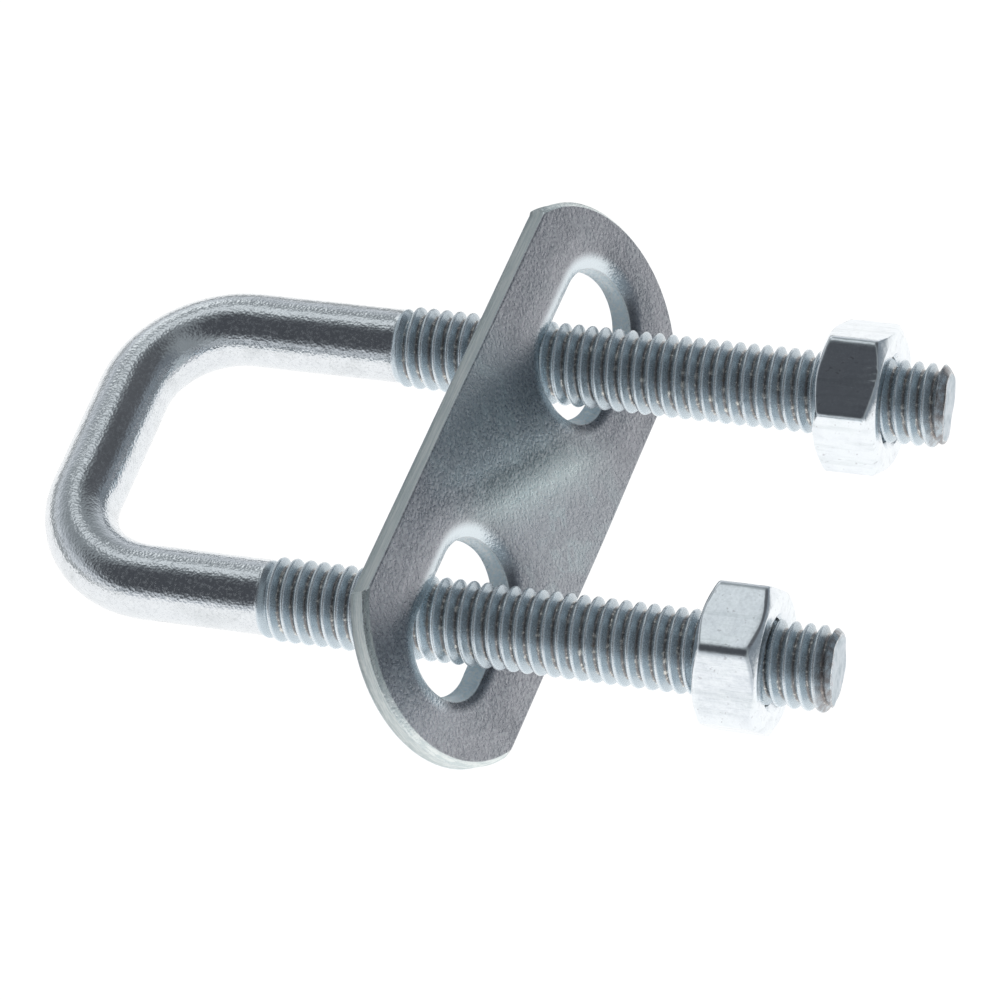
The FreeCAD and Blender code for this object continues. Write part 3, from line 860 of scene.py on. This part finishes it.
world = bpy.data.worlds.new("tent")
bpy.context.scene.world = world
world.use_nodes = True
wt = world.node_tree
wt.nodes.clear()
w_out = wt.nodes.new("ShaderNodeOutputWorld")
w_bg = wt.nodes.new("ShaderNodeBackground")
w_tc = wt.nodes.new("ShaderNodeTexCoord")
wt.links.new(w_bg.outputs[0], w_out.inputs[0])


def patch(colour, towards, inner, outer, under):
    """A soft-edged darker opening in the tent, seen only in reflections."""
    d = wt.nodes.new("ShaderNodeVectorMath")
    d.operation = "DOT_PRODUCT"
    d.inputs[1].default_value = Vector(towards).normalized()
    wt.links.new(w_tc.outputs["Generated"], d.inputs[0])
    r = wt.nodes.new("ShaderNodeMapRange")
    r.interpolation_type = "SMOOTHSTEP"
    r.inputs[1].default_value = math.cos(math.radians(outer))
    r.inputs[2].default_value = math.cos(math.radians(inner))
    wt.links.new(d.outputs["Value"], r.inputs[0])
    m = wt.nodes.new("ShaderNodeMix")
    m.data_type = "RGBA"
    wt.links.new(r.outputs[0], m.inputs[0])
    wt.links.new(under, m.inputs[6])
    m.inputs[7].default_value = (*colour, 1.0)
    return m.outputs[2]


w_xyz = wt.nodes.new("ShaderNodeSeparateXYZ")
wt.links.new(w_tc.outputs["Generated"], w_xyz.inputs[0])
w_up = wt.nodes.new("ShaderNodeValToRGB")
wt.links.new(w_xyz.outputs[2], w_up.inputs[0])
el = w_up.color_ramp.elements
el.new(0.5)
for e, (pos, c) in zip(el, ((0.0, (0.78, 0.81, 0.85)),
                            (0.22, (0.48, 0.51, 0.54)),
                            (0.50, (0.27, 0.295, 0.31)))):
    e.position, e.color = pos, (*c, 1.0)
sky = patch((0.07, 0.075, 0.085), (-0.36, -0.50, 0.78), 26, 48,
            w_up.outputs[0])
sky = patch((0.17, 0.19, 0.215), (0.82, 0.48, 0.30), 28, 50, sky)
sky = patch((0.10, 0.105, 0.115), (0.28, 0.55, 0.79), 16, 34, sky)
sky = patch((0.76, 0.80, 0.82), (-0.46, 0.46, 0.75), 5, 16, sky)
sky = patch((1.00, 1.04, 1.05), (-0.58, 0.74, 0.33), 4, 12, sky)
wt.links.new(sky, w_bg.inputs["Color"])


def card(name, at, aim, size, colour):
    """A grey board beside the object, out of the camera's sight."""
    bm = bmesh.new()
    bmesh.ops.create_grid(bm, x_segments=2, y_segments=2, size=0.5)
    me = bpy.data.meshes.new(name)
    bm.to_mesh(me)
    bm.free()
    m = bpy.data.materials.new(name)
    m.use_nodes = True
    t = m.node_tree
    t.nodes.clear()
    out = t.nodes.new("ShaderNodeOutputMaterial")
    em = t.nodes.new("ShaderNodeEmission")
    em.inputs["Color"].default_value = (*colour, 1.0)
    t.links.new(em.outputs[0], out.inputs[0])
    me.materials.append(m)
    ob = bpy.data.objects.new(name, me)
    ob.location = at
    ob.scale = (size[0], size[1], 1)
    ob.rotation_euler = (Vector(aim) - Vector(at)).to_track_quat(
        "-Z", "Y").to_euler()
    ob.visible_camera = False
    bpy.context.scene.collection.objects.link(ob)
    return ob


card("side_board", (0.17, 0.075, 0.06), (0, 0, 0.06), (0.42, 0.12),
     (0.22, 0.25, 0.28))
# two grey sheets laid flat past the bow, which it mirrors on its outer side
card("sheet_left", (-0.223, 0.12, 0.0002), (-0.223, 0.1201, 1.0),
     (0.36, 0.36), (0.36, 0.38, 0.39))
card("sheet_back", (-0.10, 0.13, 0.0004), (-0.10, 0.1301, 1.0),
     (0.20, 0.20), (0.36, 0.38, 0.39))

cam = bpy.data.cameras.new("cam")
cam.sensor_width = 36.0
cam.lens = 195.669
cam.clip_start, cam.clip_end = 0.01, 10.0
cam_ob = bpy.data.objects.new("cam", cam)
cam_ob.matrix_world = Matrix.Translation(CAM) @ AXES.to_4x4()
bpy.context.scene.collection.objects.link(cam_ob)
bpy.context.scene.camera = cam_ob
bpy.context.scene.view_settings.view_transform = "Standard"
